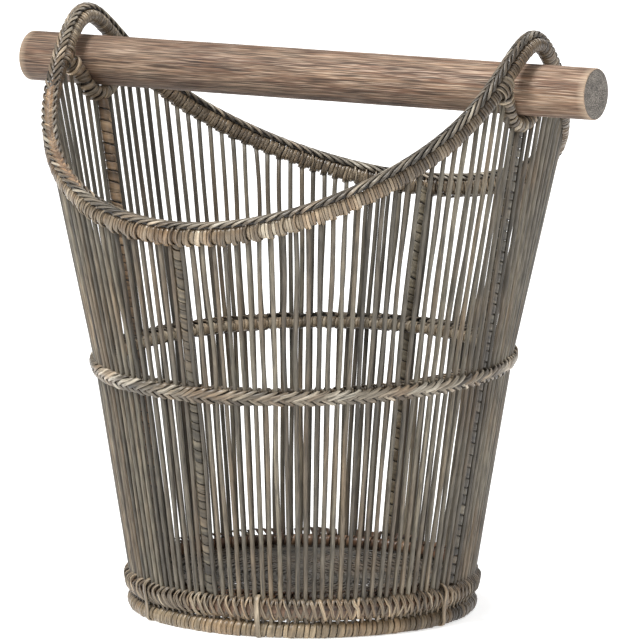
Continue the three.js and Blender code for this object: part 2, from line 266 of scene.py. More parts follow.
def flat_section(sides, squareness=0.45):
    """A split cane: crowned on top, flat below, lying on its line."""
    turn = np.linspace(0, math.pi, sides)
    x = -np.sign(np.cos(turn)) * np.abs(np.cos(turn)) ** squareness
    y = np.abs(np.sin(turn)) ** squareness
    return Section(x, y, np.append(np.linspace(0, 1, sides), 0.0))


ROUND = round_section(8)
CANE = flat_section(7)

# Tones run from the painted shade of a core, 0, to the palest cane, 1; a cane is never darker than this
LOWEST_TONE = 0.14


def add_object(name, data):
    made = bpy.data.objects.new(name, data)
    bpy.context.scene.collection.objects.link(made)
    return made


def add_piece(name, mesh, nodes, body):
    piece = add_object(name, mesh)
    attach(piece, body)
    if nodes:
        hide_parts(*nodes)


class Pile:
    """Strands gathered into one mesh, each point with the tone and the chance number of its strand."""

    def __init__(self):
        self.points = []
        self.tones = []
        self.chances = []
        self.corners = []
        self.sizes = []
        self.uvs = []
        self.count = 0

    def sweep(self, centres, normals, width, thickness, section, tone, closed=False, chance=None):
        """One strand: a section carried along the centres, its top towards the normals."""
        count = len(centres)
        sides = len(section.x)
        if closed:
            tangents = np.roll(centres, -1, axis=0) - np.roll(centres, 1, axis=0)
        else:
            tangents = np.gradient(centres, axis=0)
        tangents = unit(tangents)
        across = unit(np.cross(tangents, np.broadcast_to(normals, centres.shape)))
        flat = np.cross(across, tangents)
        half = np.broadcast_to(width, count)[:, None] / 2 * section.x
        thick = np.broadcast_to(thickness, count)[:, None] * section.y
        rings = centres[:, None] + across[:, None] * half[..., None] + flat[:, None] * thick[..., None]
        if chance is None:
            chance = len(self.points) * GOLDEN_SHARE % 1
        self.points.append(rings.reshape(-1, 3))
        self.tones.append(np.repeat(np.broadcast_to(tone, count), sides))
        self.chances.append(np.repeat(np.broadcast_to(chance, count), sides))

        spans = count if closed else count - 1
        here = np.arange(spans)[:, None]
        after = (here + 1) % count
        side = np.arange(sides)
        beside = (side + 1) % sides
        places = ((here, side), (here, beside), (after, beside), (after, side))
        quads = np.stack([row * sides + place for row, place in places], axis=-1)
        self.corners.append(quads.reshape(-1) + self.count)
        self.sizes.append(np.full(spans * sides, 4))

        steps = np.linalg.norm(np.diff(centres, axis=0), axis=1)
        along = np.cumsum(np.concatenate([[0.0], steps, steps[-1:]]))
        start = along[:spans, None]
        end = along[1 : spans + 1, None]
        low = section.v[:-1]
        high = section.v[1:]
        places = ((start, low), (start, high), (end, high), (end, low))
        uvs = [np.stack(np.broadcast_arrays(*place), axis=-1) for place in places]
        self.uvs.append(np.stack(uvs, axis=2).reshape(-1, 2))
        if not closed:
            first = side[::-1]
            last = (count - 1) * sides + side
            for cap, mark in ((first, along[0]), (last, along[count - 1])):
                self.corners.append(cap + self.count)
                self.sizes.append(np.array([sides]))
                self.uvs.append(np.stack([np.full(sides, mark), low[cap % sides]], axis=-1))
        self.count += count * sides

    def piece(self, name, material, nodes=(), slot="wrapped_cane", body="basket"):
        points = np.concatenate(self.points) * MM
        corners = np.concatenate(self.corners)
        sizes = np.concatenate(self.sizes)
        mesh = bpy.data.meshes.new(name)
        mesh.vertices.add(len(points))
        mesh.vertices.foreach_set("co", points.ravel())
        mesh.loops.add(len(corners))
        mesh.loops.foreach_set("vertex_index", corners)
        mesh.polygons.add(len(sizes))
        mesh.polygons.foreach_set("loop_start", np.concatenate([[0], np.cumsum(sizes)[:-1]]))
        mesh.polygons.foreach_set("use_smooth", np.ones(len(sizes), dtype=bool))
        mesh.update(calc_edges=True)
        uv_layer = mesh.uv_layers.new(name="strand")
        uv_layer.data.foreach_set("uv", np.concatenate(self.uvs).ravel())
        for label, values in (("tone", self.tones), ("chance", self.chances)):
            attribute = mesh.attributes.new(label, "FLOAT", "POINT")
            attribute.data.foreach_set("value", np.concatenate(values))
        mesh.materials.append(material)
        add_piece(name, mesh, nodes, body)


def wind(
    pile, line, rng, radius, pitch, start=0.0, end=None, tone=0.5, tone_spread=0.12, hidden=math.pi,
    thickness=1.1, cover=1.0, spread=0.2, uneven=0.12, ragged=np.zeros_like, steps=14,
):
    """One flat cane wound round a line in close turns.

    Radius and tone are numbers or functions of the place. The cane begins at the angle called hidden,
    and each turn covers a share of its pitch and bulges by ragged on the side of the rods.
    """
    end = line.length if end is None else end
    turns = max(2, round((end - start) / pitch))
    widths = rng.uniform(1 - spread, 1 + spread, turns)
    widths *= (end - start) / widths.sum()
    edges = start + np.concatenate([[0.0], np.cumsum(widths)])
    turn = np.arange(turns * steps + 1) / steps
    along = np.interp(turn, np.arange(turns + 1), edges)
    covers = widths * cover * rng.uniform(1 - spread * 0.35, 1 + spread * 0.05, turns)
    strip = np.interp(turn - 0.5, np.arange(turns), covers)
    whole = np.minimum(turn.astype(int), turns - 1)
    angle = hidden + FULL_TURN * turn
    rise = rng.uniform(-uneven, uneven, turns)
    bulge = ragged(edges[:-1]) * rng.uniform(0.8, 1.1, turns)
    own_radius = radius(along, angle) if callable(radius) else radius
    reach = own_radius - thickness + rise[whole] + bulge[whole] * np.clip(-np.cos(angle), 0, 1) ** 2
    point, out, across = line.at(along)
    normals = out * np.cos(angle)[:, None] + across * np.sin(angle)[:, None]
    level = tone(edges[:-1]) if callable(tone) else tone
    tones = np.clip(level + rng.normal(0, tone_spread, turns), 0.1, 1)
    chance = rng.random(turns)
    centres = point + normals * reach[:, None]
    pile.sweep(centres, normals, strip, thickness, CANE, tones[whole], chance=chance[whole])


def core(pile, line, radius, depth=0.9, samples=None):
    """The bar inside a winding, near-black as painted shade for the gaps between its turns."""
    samples = samples or max(8, int(line.length / 4))
    point, out, _ = line.at(np.linspace(0, line.length, samples, endpoint=not line.closed))
    thick = 2 * (radius - depth)
    pile.sweep(point, out, thick, thick, ROUND, 0.0, closed=line.closed)


def smooth_path(knots, samples):
    """A smooth run through the rows of knots, by Catmull-Rom."""
    padded = np.vstack([2 * knots[0] - knots[1], knots, 2 * knots[-1] - knots[-2]])
    position = np.linspace(0, len(knots) - 1, samples)
    index = np.minimum(position.astype(int), len(knots) - 2)
    t = (position - index)[:, None]
    a, b, c, d = (padded[index + offset] for offset in range(4))
    square = 2 * a - 5 * b + 4 * c - d
    cube = 3 * b - a - 3 * c + d
    return 0.5 * (2 * b + (c - a) * t + square * t**2 + cube * t**3)


def shaded_ends(tone, samples, share, dark):
    """Tones along a strand with painted shade towards the ends, where it tucks under its neighbours."""
    place = np.linspace(0, 1, samples)
    fade = np.clip(np.minimum(place, 1 - place) / share, 0, 1)
    return np.maximum(tone * (dark + (1 - dark) * fade), LOWEST_TONE)


def stake_strand(
    pile, start, knots, width, thickness, tone, samples, radius_at=wall_radius, tilted=False
):
    """A flat cane from a start (stake, height, out of the wall) through knots.

    A knot is (stakes on, height, distance out, lean of the flat side in degrees), from the start.
    """
    stake, height, out, lean = smooth_path(np.add(knots, (*start, 0)), samples).T
    bearing = stake_to_bearing(stake)
    rise = waist_rise(bearing) if tilted else 0.0
    centres = polar(bearing, radius_at(height) + out, height + rise)
    lean = np.radians(lean)
    normals = polar(bearing, np.cos(lean), np.sin(lean))
    pile.sweep(centres, normals, width, thickness, CANE, tone)


def rim_strand(pile, start, side, knots, width, thickness, tone, samples):
    """A flat cane on the rim from a start (length along it, across, away from the rods) through knots.

    A knot is (length, across, away, lean of the flat side in degrees), from the start. Across and lean
    are mirrored where side is -1.
    """
    path = np.multiply(knots, (1, side, 1, side)) + (*start, 0)
    along, across, away, lean = smooth_path(path, samples).T
    point, out, inward = rim_line.at(along)
    lean = np.radians(lean)[:, None]
    centres = point + out * away[:, None] + inward * across[:, None]
    normals = out * np.cos(lean) + inward * np.sin(lean)
    pile.sweep(centres, normals, width, thickness, CANE, tone)


STRAP_THICKNESS = 1.2


def strap(pile, line, mark, slant, reach, width, tone, first=0.0):
    """A flat cane once round a line; reach is its distance from the line above, below and beside."""
    turn = np.linspace(0, FULL_TURN, 21)[:-1] + first
    point, out, across = line.at(mark + slant * np.sin(turn))
    out = out * np.cos(turn)[:, None]
    across = across * np.sin(turn)[:, None]
    above, below, beside = reach
    reach_out = np.where(np.cos(turn) > 0, above, below)[:, None]
    centres = point + out * reach_out + across * beside
    pile.sweep(centres, out + across, width, STRAP_THICKNESS, CANE, tone, closed=True)


# Materials


def linear(red, green, blue):
    """Linear colour of a colour given as the eye sees it, from 0 to 255."""
    values = [value / 255 for value in (red, green, blue)]
    return [v / 12.92 if v <= 0.04045 else ((v + 0.055) / 1.055) ** 2.4 for v in values] + [1.0]


class Nodes:
    """A material under construction."""

    def __init__(self, name):
        self.material = bpy.data.materials.new(name)
        self.material.use_nodes = True
        self.tree = self.material.node_tree
        self.shader = self.tree.nodes["Principled BSDF"]

    def add(self, kind, *inputs, **settings):
        """A node with its first inputs and its settings."""
        node = self.tree.nodes.new("ShaderNode" + kind)
        for key, value in settings.items():
            setattr(node, key, value)
        for socket, value in zip(node.inputs, inputs):
            self.set(socket, value)
        return node

    def set(self, socket, value):
        if isinstance(value, bpy.types.NodeSocket):
            self.tree.links.new(value, socket)
        else:
            socket.default_value = value

    def put(self, node, **inputs):
        for key, value in inputs.items():
            self.set(node.inputs[key], value)

    def place(self):
        return self.add("TexCoord").outputs["Object"]

    def parts(self, vector):
        return self.add("SeparateXYZ", vector).outputs

    def vector(self, x, y, z):
        return self.add("CombineXYZ", x, y, z).outputs[0]

    def grey(self, shade):
        return self.add("CombineColor", shade, shade, shade).outputs[0]

    def math(self, operation, first, second=0.0, third=0.0, clamp=False):
        return self.add("Math", first, second, third, operation=operation, use_clamp=clamp).outputs[0]

    def times(self, first, second, clamp=False):
        return self.math("MULTIPLY", first, second, clamp=clamp)

    def plus(self, first, second):
        return self.math("ADD", first, second)

    def noise(self, vector, scale=1.0, detail=3.0, roughness=0.55):
        node = self.add("TexNoise", noise_dimensions="3D")
        self.put(node, Vector=vector, Scale=scale, Detail=detail, Roughness=roughness)
        return node.outputs["Fac"]

    def span(self, value, low, high, to_low=0.0, to_high=1.0):
        """A value's place from low to high, carried over to another span and held at its ends."""
        return self.add("MapRange", value, low, high, to_low, to_high, clamp=True).outputs[0]

    def ramp(self, value, stops):
        node = self.add("ValToRGB", value)
        elements = node.color_ramp.elements
        while len(elements) < len(stops):
            elements.new(0.5)
        for element, (place, colour) in zip(elements, stops):
            element.position = place
            element.color = linear(*colour)
        return node.outputs[0]

    def mix(self, factor, first, second, blend="MIX"):
        node = self.add("Mix", data_type="RGBA", blend_type=blend)
        for index, value in ((0, factor), (6, first), (7, second)):
            self.set(node.inputs[index], value)
        return node.outputs[2]

    def bump(self, height, strength, distance):
        node = self.add("Bump")
        self.put(node, Strength=strength, Distance=distance, Height=height)
        self.set(self.shader.inputs["Normal"], node.outputs[0])


# Near-black of a core or of a band under a plait: painted shade for the gaps where it shows
CORE_SHADE_COLOUR = (38, 30, 24)


def cane_material(
    name, *colours, lines=4.5, edge_painted_shade=0.65, patch=0.35, fibre=0.6, streaks=0.8, roughness=(0.28, 0.52)
):
    """Split cane or rattan: the tone picks one of the colours, fibre lines run along the strand.

    Lines is the count of fibre lines across a strand. The other values say how strongly its edges
    darken with painted shade for the seams between strands, patches lighten or darken it, fibres
    show and streaks differ, and its least and most roughness.
    """
    n = Nodes(name)
    tone = n.add("Attribute", attribute_name="tone").outputs["Fac"]
    chance = n.add("Attribute", attribute_name="chance").outputs["Fac"]
    place = n.place()
    along, across, _ = n.parts(n.add("UVMap", uv_map="strand").outputs[0])

    def fibres(long, wide, shift, detail):
        """Noise drawn out along the strand and shifted by chance."""
        shifted = n.math("MULTIPLY_ADD", chance, 57.0, shift)
        return n.noise(n.vector(n.times(along, long), n.times(across, wide), shifted), detail=detail)

    fine = fibres(0.07, lines, 0.0, 4.0)
    broad = fibres(0.03, lines * 0.4, 9.0, 3.0)
    split = fibres(0.045, lines * 1.2, 18.0, 2.0)
    weather = n.noise(place, 22.0, 4.0)
    lean = n.times(n.math("SUBTRACT", weather, 0.5), patch * 2)
    streak = n.times(n.math("SUBTRACT", broad, 0.5), streaks)
    # Tone 0 picks the painted shade of a core; every higher tone is cane colour
    lit = n.math("GREATER_THAN", tone, 0.05)
    moved = n.math("MAXIMUM", n.plus(tone, n.plus(lean, streak)), LOWEST_TONE)
    places = np.linspace(LOWEST_TONE, 1.0, len(colours))
    stops = [(0.0, CORE_SHADE_COLOUR), (0.1, CORE_SHADE_COLOUR)] + list(zip(map(float, places), colours))
    colour = n.ramp(n.times(moved, lit, clamp=True), stops)
    sunned = n.span(n.math("MULTIPLY_ADD", chance, 0.2, n.noise(place, 15.0, 2.0)), 0.56, 0.8)
    sun_tint = n.mix(sunned, (0.985, 1.0, 1.0, 1), (1.09, 0.96, 0.84, 1))
    tinted = n.mix(1.0, colour, sun_tint, "MULTIPLY")
    fine_shade = n.span(fine, 0.3, 0.7, 1 - fibre, 1 + fibre * 0.7)
    split_shade = n.span(split, 0.34, 0.42, 0.42, 1.0)
    # Painted shade: the strand darkens towards both edges, where the seams between strands lie
    edge = n.math("POWER", n.math("ABSOLUTE", n.math("MULTIPLY_ADD", across, 2.0, -1.0)), 5.0)
    edge_shade = n.math("SUBTRACT", 1.0, n.times(edge, edge_painted_shade))
    shade = n.times(n.times(fine_shade, split_shade), edge_shade)
    n.set(n.shader.inputs["Base Color"], n.mix(1.0, tinted, n.grey(shade), "MULTIPLY"))
    n.set(n.shader.inputs["Roughness"], n.span(fine, 0.3, 0.7, roughness[1], roughness[0]))
    n.bump(n.plus(fine, n.times(split_shade, 0.3)), 0.6, 0.0004)
    return n.material


rod_material = cane_material(
    "weathered_rattan", (67, 61, 52), (91, 84, 73), (110, 102, 88), (138, 127, 108),
    lines=9.0, edge_painted_shade=0.0, patch=0.25, fibre=0.5, roughness=(0.38, 0.62),
)
wrap_material = cane_material("wound_cane", (68, 60, 50), (103, 91, 76), (132, 117, 97), (172, 157, 134))
braid_material = cane_material(
    "plaited_cane", (65, 59, 51), (102, 93, 81), (131, 120, 104), (174, 165, 149)
)
rim_material = cane_material(
    "rim_cane", (66, 56, 45), (104, 90, 73), (139, 123, 102), (190, 177, 156),
    edge_painted_shade=0.3, patch=0.55, fibre=0.5, streaks=0.45, roughness=(0.2, 0.44),
)
foot_material = cane_material(
    "foot_cane", (64, 54, 42), (107, 92, 72), (138, 121, 97), (172, 154, 126),
    edge_painted_shade=0.45, streaks=0.35,
)
post_material = cane_material(
    "post_cane", (54, 48, 39), (80, 73, 60), (103, 94, 78), (128, 118, 100), edge_painted_shade=0.3
)
gold_material = cane_material(
    "golden_cane", (78, 61, 46), (112, 91, 70), (145, 120, 94), (180, 154, 123), edge_painted_shade=0.3, patch=0.4
)
hoop_material = cane_material(
    "brown_hoop", (54, 39, 28), (82, 60, 44), (106, 80, 60), (128, 103, 80), edge_painted_shade=0.2
)
floor_material = cane_material("floor_cane", (62, 58, 53), (82, 77, 70), (98, 91, 82), (116, 108, 96))


def wood_material():
    """Limed timber: brown-grey grain along X with pale lime in the pores, end grain on the ends."""
    n = Nodes("limed_timber")
    place = n.place()
    x, y, z = n.parts(place)
    radius = HANDLE_DIAMETER / 2
    half = HANDLE_LENGTH / 2

    def grain(along, across, detail=1.0, roughness=0.5):
        """Noise drawn out along the timber, with its rates per metre."""
        vector = n.vector(n.times(x, along), n.times(y, across), n.times(z, across))
        return n.noise(vector, 1.0, detail, roughness)

    broad = grain(6.0, 150.0, 3.0, 0.55)
    fine = grain(26.0, 1700.0)
    threads = grain(60.0, 2600.0)
    pores = grain(34.0, 1500.0)
    stain = n.noise(place, 9.0)
    body = n.ramp(
        n.plus(n.times(broad, 0.65), n.times(stain, 0.35)),
        [(0.34, (78, 56, 42)), (0.46, (108, 80, 61)), (0.55, (128, 102, 81)), (0.68, (150, 126, 104))],
    )
    # Painted shade: under darkens the rod towards its lowest line; sides adds a change from darker at -X
    # to paler at +X
    lowest = (HANDLE_HEIGHT - radius) * MM
    under = n.span(z, lowest, lowest + 0.38 * HANDLE_DIAMETER * MM, 0.66, 1.0)
    sides = n.times(n.span(x, -0.08, 0.12, 0.84, 1.08), under)
    darkest = n.span(x, 0.12, 0.22, 0.36, 0.62)
    lines = n.times(n.span(fine, 0.41, 0.53, darkest, 1.16), n.span(threads, 0.4, 0.58, 0.62, 1.2))
    lime = n.span(pores, 0.5, 0.62)
    limed = n.mix(n.times(lime, n.span(x, -0.2, 0.14, 0.3, 0.5)), body, linear(196, 176, 154))
    side = n.mix(1.0, limed, n.grey(n.times(lines, sides)), "MULTIPLY")

    speckle = n.noise(place, 900.0, 2.0, 0.7)
    rings = n.noise(place, 160.0, 4.0)
    end_grain = n.ramp(
        n.plus(n.times(speckle, 0.75), n.times(rings, 0.25)),
        [(0.4, (50, 45, 41)), (0.5, (94, 88, 81)), (0.6, (146, 138, 128))],
    )
    height = n.math("SUBTRACT", z, HANDLE_HEIGHT * MM)
    reach = n.math("SQRT", n.plus(n.math("POWER", y, 2.0), n.math("POWER", height, 2.0)))
    outline = n.span(reach, (radius - 1.6) * MM, (radius - 0.9) * MM, 0.0, 0.75)
    end_colour = n.mix(outline, end_grain, linear(50, 45, 40))

    worn = n.span(n.math("ABSOLUTE", x), (half - 7.0) * MM, (half - 1.5) * MM, 0.0, 0.4)
    worn_side = n.mix(worn, side, linear(184, 164, 140))
    normal = n.add("NewGeometry").outputs["Normal"]
    facing = n.math("ABSOLUTE", n.parts(normal)[0])
    n.set(n.shader.inputs["Base Color"], n.mix(n.span(facing, 0.9, 0.97), worn_side, end_colour))
    n.set(n.shader.inputs["Roughness"], n.span(fine, 0.3, 0.7, 0.78, 0.55))
    n.bump(n.math("SUBTRACT", fine, n.times(lime, 0.3)), 0.5, 0.0005)
    return n.material


# Pieces


def zone(bearing, centre, width):
    """A soft bump round a bearing; centre and width are in degrees."""
    away = np.angle(np.exp(1j * (bearing - np.radians(centre))), deg=True)
    return np.exp(-((away / width) ** 2))


def own_tone(rng, level, spread, lowest=0.15):
    """A strand's tone, by chance round a level."""
    return np.clip(level + rng.normal(0, spread), lowest, 1)


def rest_on_ground(pile):
    for points in pile.points:
        points[:, 2] = np.maximum(points[:, 2], 0.0)


def foot_ring():
    """The bar that the basket stands on, wound with cane."""
    rng = np.random.default_rng(11)
    radius = FOOT_RING_DIAMETER / 2
    height = radius - FOOT_FLAT_DEPTH
    line = ring_line(wall_radius(height), height)
    pile = Pile()

    def tone(along):
        """Paler in front, darker at the back left, and darker at the right with painted shade."""
        bearing = along / line.length * FULL_TURN
        shade = 0.15 * zone(bearing, -160, 25) + 0.36 * zone(bearing, 16, 34)
        return 0.54 + 0.2 * zone(bearing, -90, 45) - shade

    wind(
        pile, line, rng, radius + 0.5, pitch=5.0, tone=tone, tone_spread=0.06, thickness=1.7,
        spread=0.32, uneven=0.35,
    )
    core(pile, line, radius)
    rest_on_ground(pile)
    pile.piece("foot_ring_winding", foot_material, ["foot_ring"])


def floor_slats():
    """Flat slats that carry the floor on the foot ring."""
    rng = np.random.default_rng(12)
    reach = wall_radius(ROD_BOTTOM) - ROD_FACE
    for index, place in enumerate(("front", "middle", "back")):
        y = (index - 1) * BRACE_SPACING
        half = math.sqrt(reach**2 - (abs(y) + BRACE_WIDTH / 2) ** 2)
        x = np.linspace(-half, half, 40)
        wave = 0.4 * np.sin(x / 37 + index)
        centres = vectors(x, y + wave, ROD_BOTTOM + BRACE_THICKNESS)
        width = BRACE_WIDTH + rng.normal(0, 0.2, len(x))
        pile = Pile()
        pile.sweep(centres, -UP, width, BRACE_THICKNESS, CANE, 0.45)
        pile.piece("floor_slat_" + place, rod_material, ["floor_brace_" + place], "rattan_rod")


def woven_floor():
    """Rounds of dark cane, woven over and under spokes; the middle has every other spoke."""
    rng = np.random.default_rng(13)
    pile = Pile()
    reach = wall_radius(FLOOR_BOTTOM) - ROD_FACE
    middle = FLOOR_BOTTOM + FLOOR_THICKNESS / 2
    spokes = 48
    half_spokes_radius = 62.0
    inner_radius = 7.0
    pitch = 3.1
    wave_height = 1.25
    for number, radius in enumerate(np.arange(inner_radius, reach - pitch / 2, pitch)):
        count = spokes if radius > half_spokes_radius else spokes // 2
        bearing = np.linspace(0, FULL_TURN, count * 4, endpoint=False)
        wave = wave_height * np.cos(bearing * count / 2 + number * math.pi)
        centres = polar(bearing, radius + rng.normal(0, 0.12), middle - 0.4 + wave)
        pile.sweep(centres, UP, pitch * 0.98, 1.0, CANE, own_tone(rng, 0.45, 0.14, 0.12), closed=True)
    for number in range(spokes):
        start = 3.0 if number % 2 == 0 else half_spokes_radius - 2.0
        centres = polar(number / spokes * FULL_TURN, np.linspace(start, reach - 0.5, 12), middle)
        pile.sweep(centres, UP, 2.6, 1.6, ROUND, 0.35)
    bearing = np.linspace(0, FULL_TURN, 48, endpoint=False)
    for radius, rise in ((6.0, 0.6), (3.2, 0.9)):
        pile.sweep(polar(bearing, radius, middle + rise), UP, 3.4, 1.0, CANE, 0.4, closed=True)
    pile.piece("woven_floor", floor_material, ["floor_mat"], "woven_floor")


def base_hoop():
    """The hoop behind the rods, and the canes that lash it to them."""
    rng = np.random.default_rng(14)
    radius = BASE_HOOP_DIAMETER / 2
    inset = ROD_FACE + radius
    line = ring_line(wall_radius(BASE_HOOP_HEIGHT) - inset, BASE_HOOP_HEIGHT)
    pile = Pile()
    wind(
        pile, line, rng, radius + 0.1, pitch=4.4, tone=0.6, tone_spread=0.2, hidden=0.0,
        cover=0.86, spread=0.4, uneven=0.5,
    )
    core(pile, line, radius)
    for stake in range(STAKES):
        lean = rng.normal(0, 0.1)
        rise = rng.uniform(0, 1.6)
        knots = [
            (0.2 + lean, 2.0, -4.0, -130),
            (0.35 + lean, radius + 0.8, 0.0, 90),
            (0.5, radius + 1.6 + rise, inset / 2, 80),
            (0.6, radius + 2.4 + rise, inset - 0.8, 60),
        ]
        start = (stake, BASE_HOOP_HEIGHT, -inset)
        stake_strand(pile, start, knots, 2.6, 1.1, own_tone(rng, 0.3, 0.12, LOWEST_TONE), samples=9)
    pile.piece("base_hoop_winding", hoop_material, ["base_hoop"])


def base_band():
    """The brown hoop outside the rods, lashed over with pairs of thin canes."""
    rng = np.random.default_rng(15)
    middle = (BASE_BRAID_BOTTOM + BASE_BRAID_TOP) / 2
    hoop = Pile()
    bearing = np.linspace(0, FULL_TURN, 360, endpoint=False)
    height = middle - 1.4 + 0.3 * np.sin(3 * bearing)
    centres = polar(bearing, wall_radius(height) + ROD_FACE, height)
    tone = 0.5 + 0.2 * np.sin(5 * bearing + 1)
    hoop.sweep(centres, radial(bearing), 10.5, 2.4, CANE, tone, closed=True)
    hoop.piece("base_band_hoop", hoop_material, ["base_braid"])

    lashing = Pile()
    share = np.array([0.0, 0.04, 0.25, 0.5, 0.8, 1.0, 1.0])
    bow = 0.5 * share - 0.95 * np.sin(math.pi * share)
    for stake in range(STAKES):
        bearing = stake_to_bearing(stake + 0.5)
        crescent = zone(bearing, -128, 30)
        # Darker at the right, round bearing 16: painted shade
        level = 0.46 - 0.2 * zone(bearing, 16, 34)
        top = BASE_BRAID_TOP - 1.6 + rng.normal(0, 0.5)
        bottom = BASE_BRAID_BOTTOM + rng.normal(-0.6, 0.4)
        slack = rng.normal(0, 0.05, 3)
        for towards, lift in ((-1, 0.0), (1, 0.7)):
            for twin in (-0.5, 0.5):
                cross = towards * 0.86 * share
                sway = 0.5 + 0.1 * towards + 0.16 * twin + cross + (bow - cross) * crescent
                sway[2:5] += slack
                apart = 1.5 * twin * (0.6 + crescent)
                knots = [
                    (sway[0], top - 3.0, -3.5, 60),
                    (sway[1], top + 0.4 * twin, 0.6, 60),
                    (sway[2], top - 3.2 + apart, 4.0 + lift, 16),
                    (sway[3], middle + apart, 4.6 + lift, 0),
                    (sway[4], bottom + 3.2 + apart * 0.5, 4.0 + lift, -18),
                    (sway[5], bottom, 0.8, -60),
                    (sway[6], bottom + 1.5, -3.0, -90),
                ]
                # One strand in five is paler by 0.28: a painted highlight
                own = level + 0.06 * towards + rng.normal(0, 0.14) + 0.28 * (rng.random() < 0.2)
                width = rng.uniform(1.3, 1.9)
                tones = shaded_ends(np.clip(own, 0.2, 1), 15, 0.2, 0.6)
                stake_strand(lashing, (stake, 0, 0), knots, width, 1.3, tones, samples=15)
    lashing.piece("base_band_lashing", wrap_material, slot="plaited_cane")


LONG_TIE_BEARINGS = (-119.0, -74.5, -8.7, 74.0, 140.0)


def foot_ties():
    """Short canes that hold the base band down on the foot ring at each rod, and a few long ones."""
    rng = np.random.default_rng(16)
    pile = Pile()
    for stake in range(STAKES):
        side = rng.normal(0, 0.08)
        knots = [
            (side, BASE_BRAID_BOTTOM + 3.0, 2.6, 0),
            (side, BASE_BRAID_BOTTOM - 0.5, 2.2, -10),
            (side * 2, FOOT_RING_TOP - 0.2, 1.8, 15),
            (side * 2, FOOT_RING_TOP - 1.4, 3.0, 40),
        ]
        tone = own_tone(rng, 0.4, 0.15, 0.12)
        stake_strand(pile, (stake, 0, 0), knots, rng.uniform(2.0, 2.8), 1.1, tone, samples=8)
    for bearing in LONG_TIE_BEARINGS:
        nearest = np.argmax(zone(waist_stakes, bearing, 90))
        knots = [
            (0.1, BASE_BRAID_TOP, -2.5, 60),
            (0.05, BASE_BRAID_TOP + 1.2, 1.5, 50),
            (0, BASE_BRAID_BOTTOM + 13, 6.4, 8),
            (0, BASE_BRAID_BOTTOM + 2, 6.2, -5),
            (0.05, FOOT_RING_TOP - 3.0, 6.6, 10),
            (0.1, 2.5, 7.4, -25),
            (0.1, 0.8, 4.2, -70),
        ]
        stake_strand(pile, (nearest + 0.5, 0, 0), knots, 4.0, 1.3, 0.75, samples=16)
    rest_on_ground(pile)
    pile.piece("foot_ties", wrap_material)


def rod_paths():
    """Foot, waist and top of each rod; the top ends a little way into the rim or a cradle."""
    cradle = cradle_points()
    stops = [(rim_line.points, RIM_HOOP_RADIUS)]
    stops += [(cradle * [sign, sign, 1], CRADLE_DIAMETER / 2) for sign in (1, -1)]
    bury = 2.5
    near_target = 90
    paths = []
    for quarter in range(4):
        for number in range(RODS_PER_QUARTER):
            foot_radius = wall_radius(ROD_BOTTOM)
            foot = polar(rod_bearing(quarter, number, foot_radius), foot_radius, ROD_BOTTOM)
            bearing = rod_bearing(quarter, number, WAIST_RADIUS)
            waist = polar(bearing, WAIST_RADIUS, WAIST_HEIGHT + waist_rise(bearing))
            target = rim_point(rod_bearing(quarter, number, RIM_EAR_RADIUS))
            length = np.linalg.norm(target - waist)
            ahead = np.arange(0, length, 0.5)
            run = waist + (target - waist) / length * ahead[:, None]
            end = length
            for curve, reach in stops:
                near = curve[np.linalg.norm(curve - target, axis=1) < near_target]
                if len(near):
                    gap = np.linalg.norm(run[:, None] - near[None], axis=2).min(axis=1)
                    inside = np.nonzero(gap < reach + CLEARANCE)[0]
                    if len(inside):
                        end = min(end, ahead[inside[0]])
            paths.append((foot, waist, waist + (target - waist) * (end + bury) / length))
    return paths


def rods():
    """The upright rods in panels of a few, each a little bowed, with the lacing that joins a panel."""
    rng = np.random.default_rng(17)
    paths = rod_paths()
    lacing_radius = WAIST_HOOP_LINE + WAIST_HOOP_DIAMETER / 2 + CLEARANCE
    overhang = 0.008
    share = np.linspace(0, 1, 12)[:, None]
    waves = np.hstack([np.sin(math.pi * share), np.sin(FULL_TURN * share)])
    for panel in range(4 * RODS_PER_QUARTER // RODS_PER_PANEL):
        pile = Pile()
        bearings = []
        for index in range(panel * RODS_PER_PANEL, (panel + 1) * RODS_PER_PANEL):
            foot, waist, top = paths[index]
            bearing = rod_bearing(*divmod(index, RODS_PER_QUARTER), WAIST_RADIUS)
            bearings.append(bearing)
            sideways = radial(bearing + math.pi / 2)
            bend = rng.normal(0, 0.45, 4)
            lower = foot + (waist - foot) * share + sideways * (waves @ bend[:2])[:, None]
            upper = waist + (top - waist) * share + sideways * (waves @ bend[2:])[:, None]
            centres = np.vstack([lower, upper[1:]])
            thick = ROD_DIAMETER * rng.uniform(0.93, 1.07) * (1 + rng.normal(0, 0.012, len(centres)))
            pile.sweep(centres, radial(bearing), thick, thick, ROUND, own_tone(rng, 0.5, 0.15))
        steps = np.linspace(bearings[0] - overhang, bearings[-1] + overhang, 12)
        centres = polar(steps, lacing_radius, WAIST_HEIGHT + waist_rise(steps))
        pile.sweep(centres, radial(steps), 4.6, 1.6, CANE, 0.25)
        name = f"{panel + 1:02d}"
        pile.piece("rods_" + name, rod_material, ["rod_panel_" + name], "rattan_rod")


POST_TONES = {"right": 0.3, "back": 0.75, "left": 0.58, "front": 0.45}


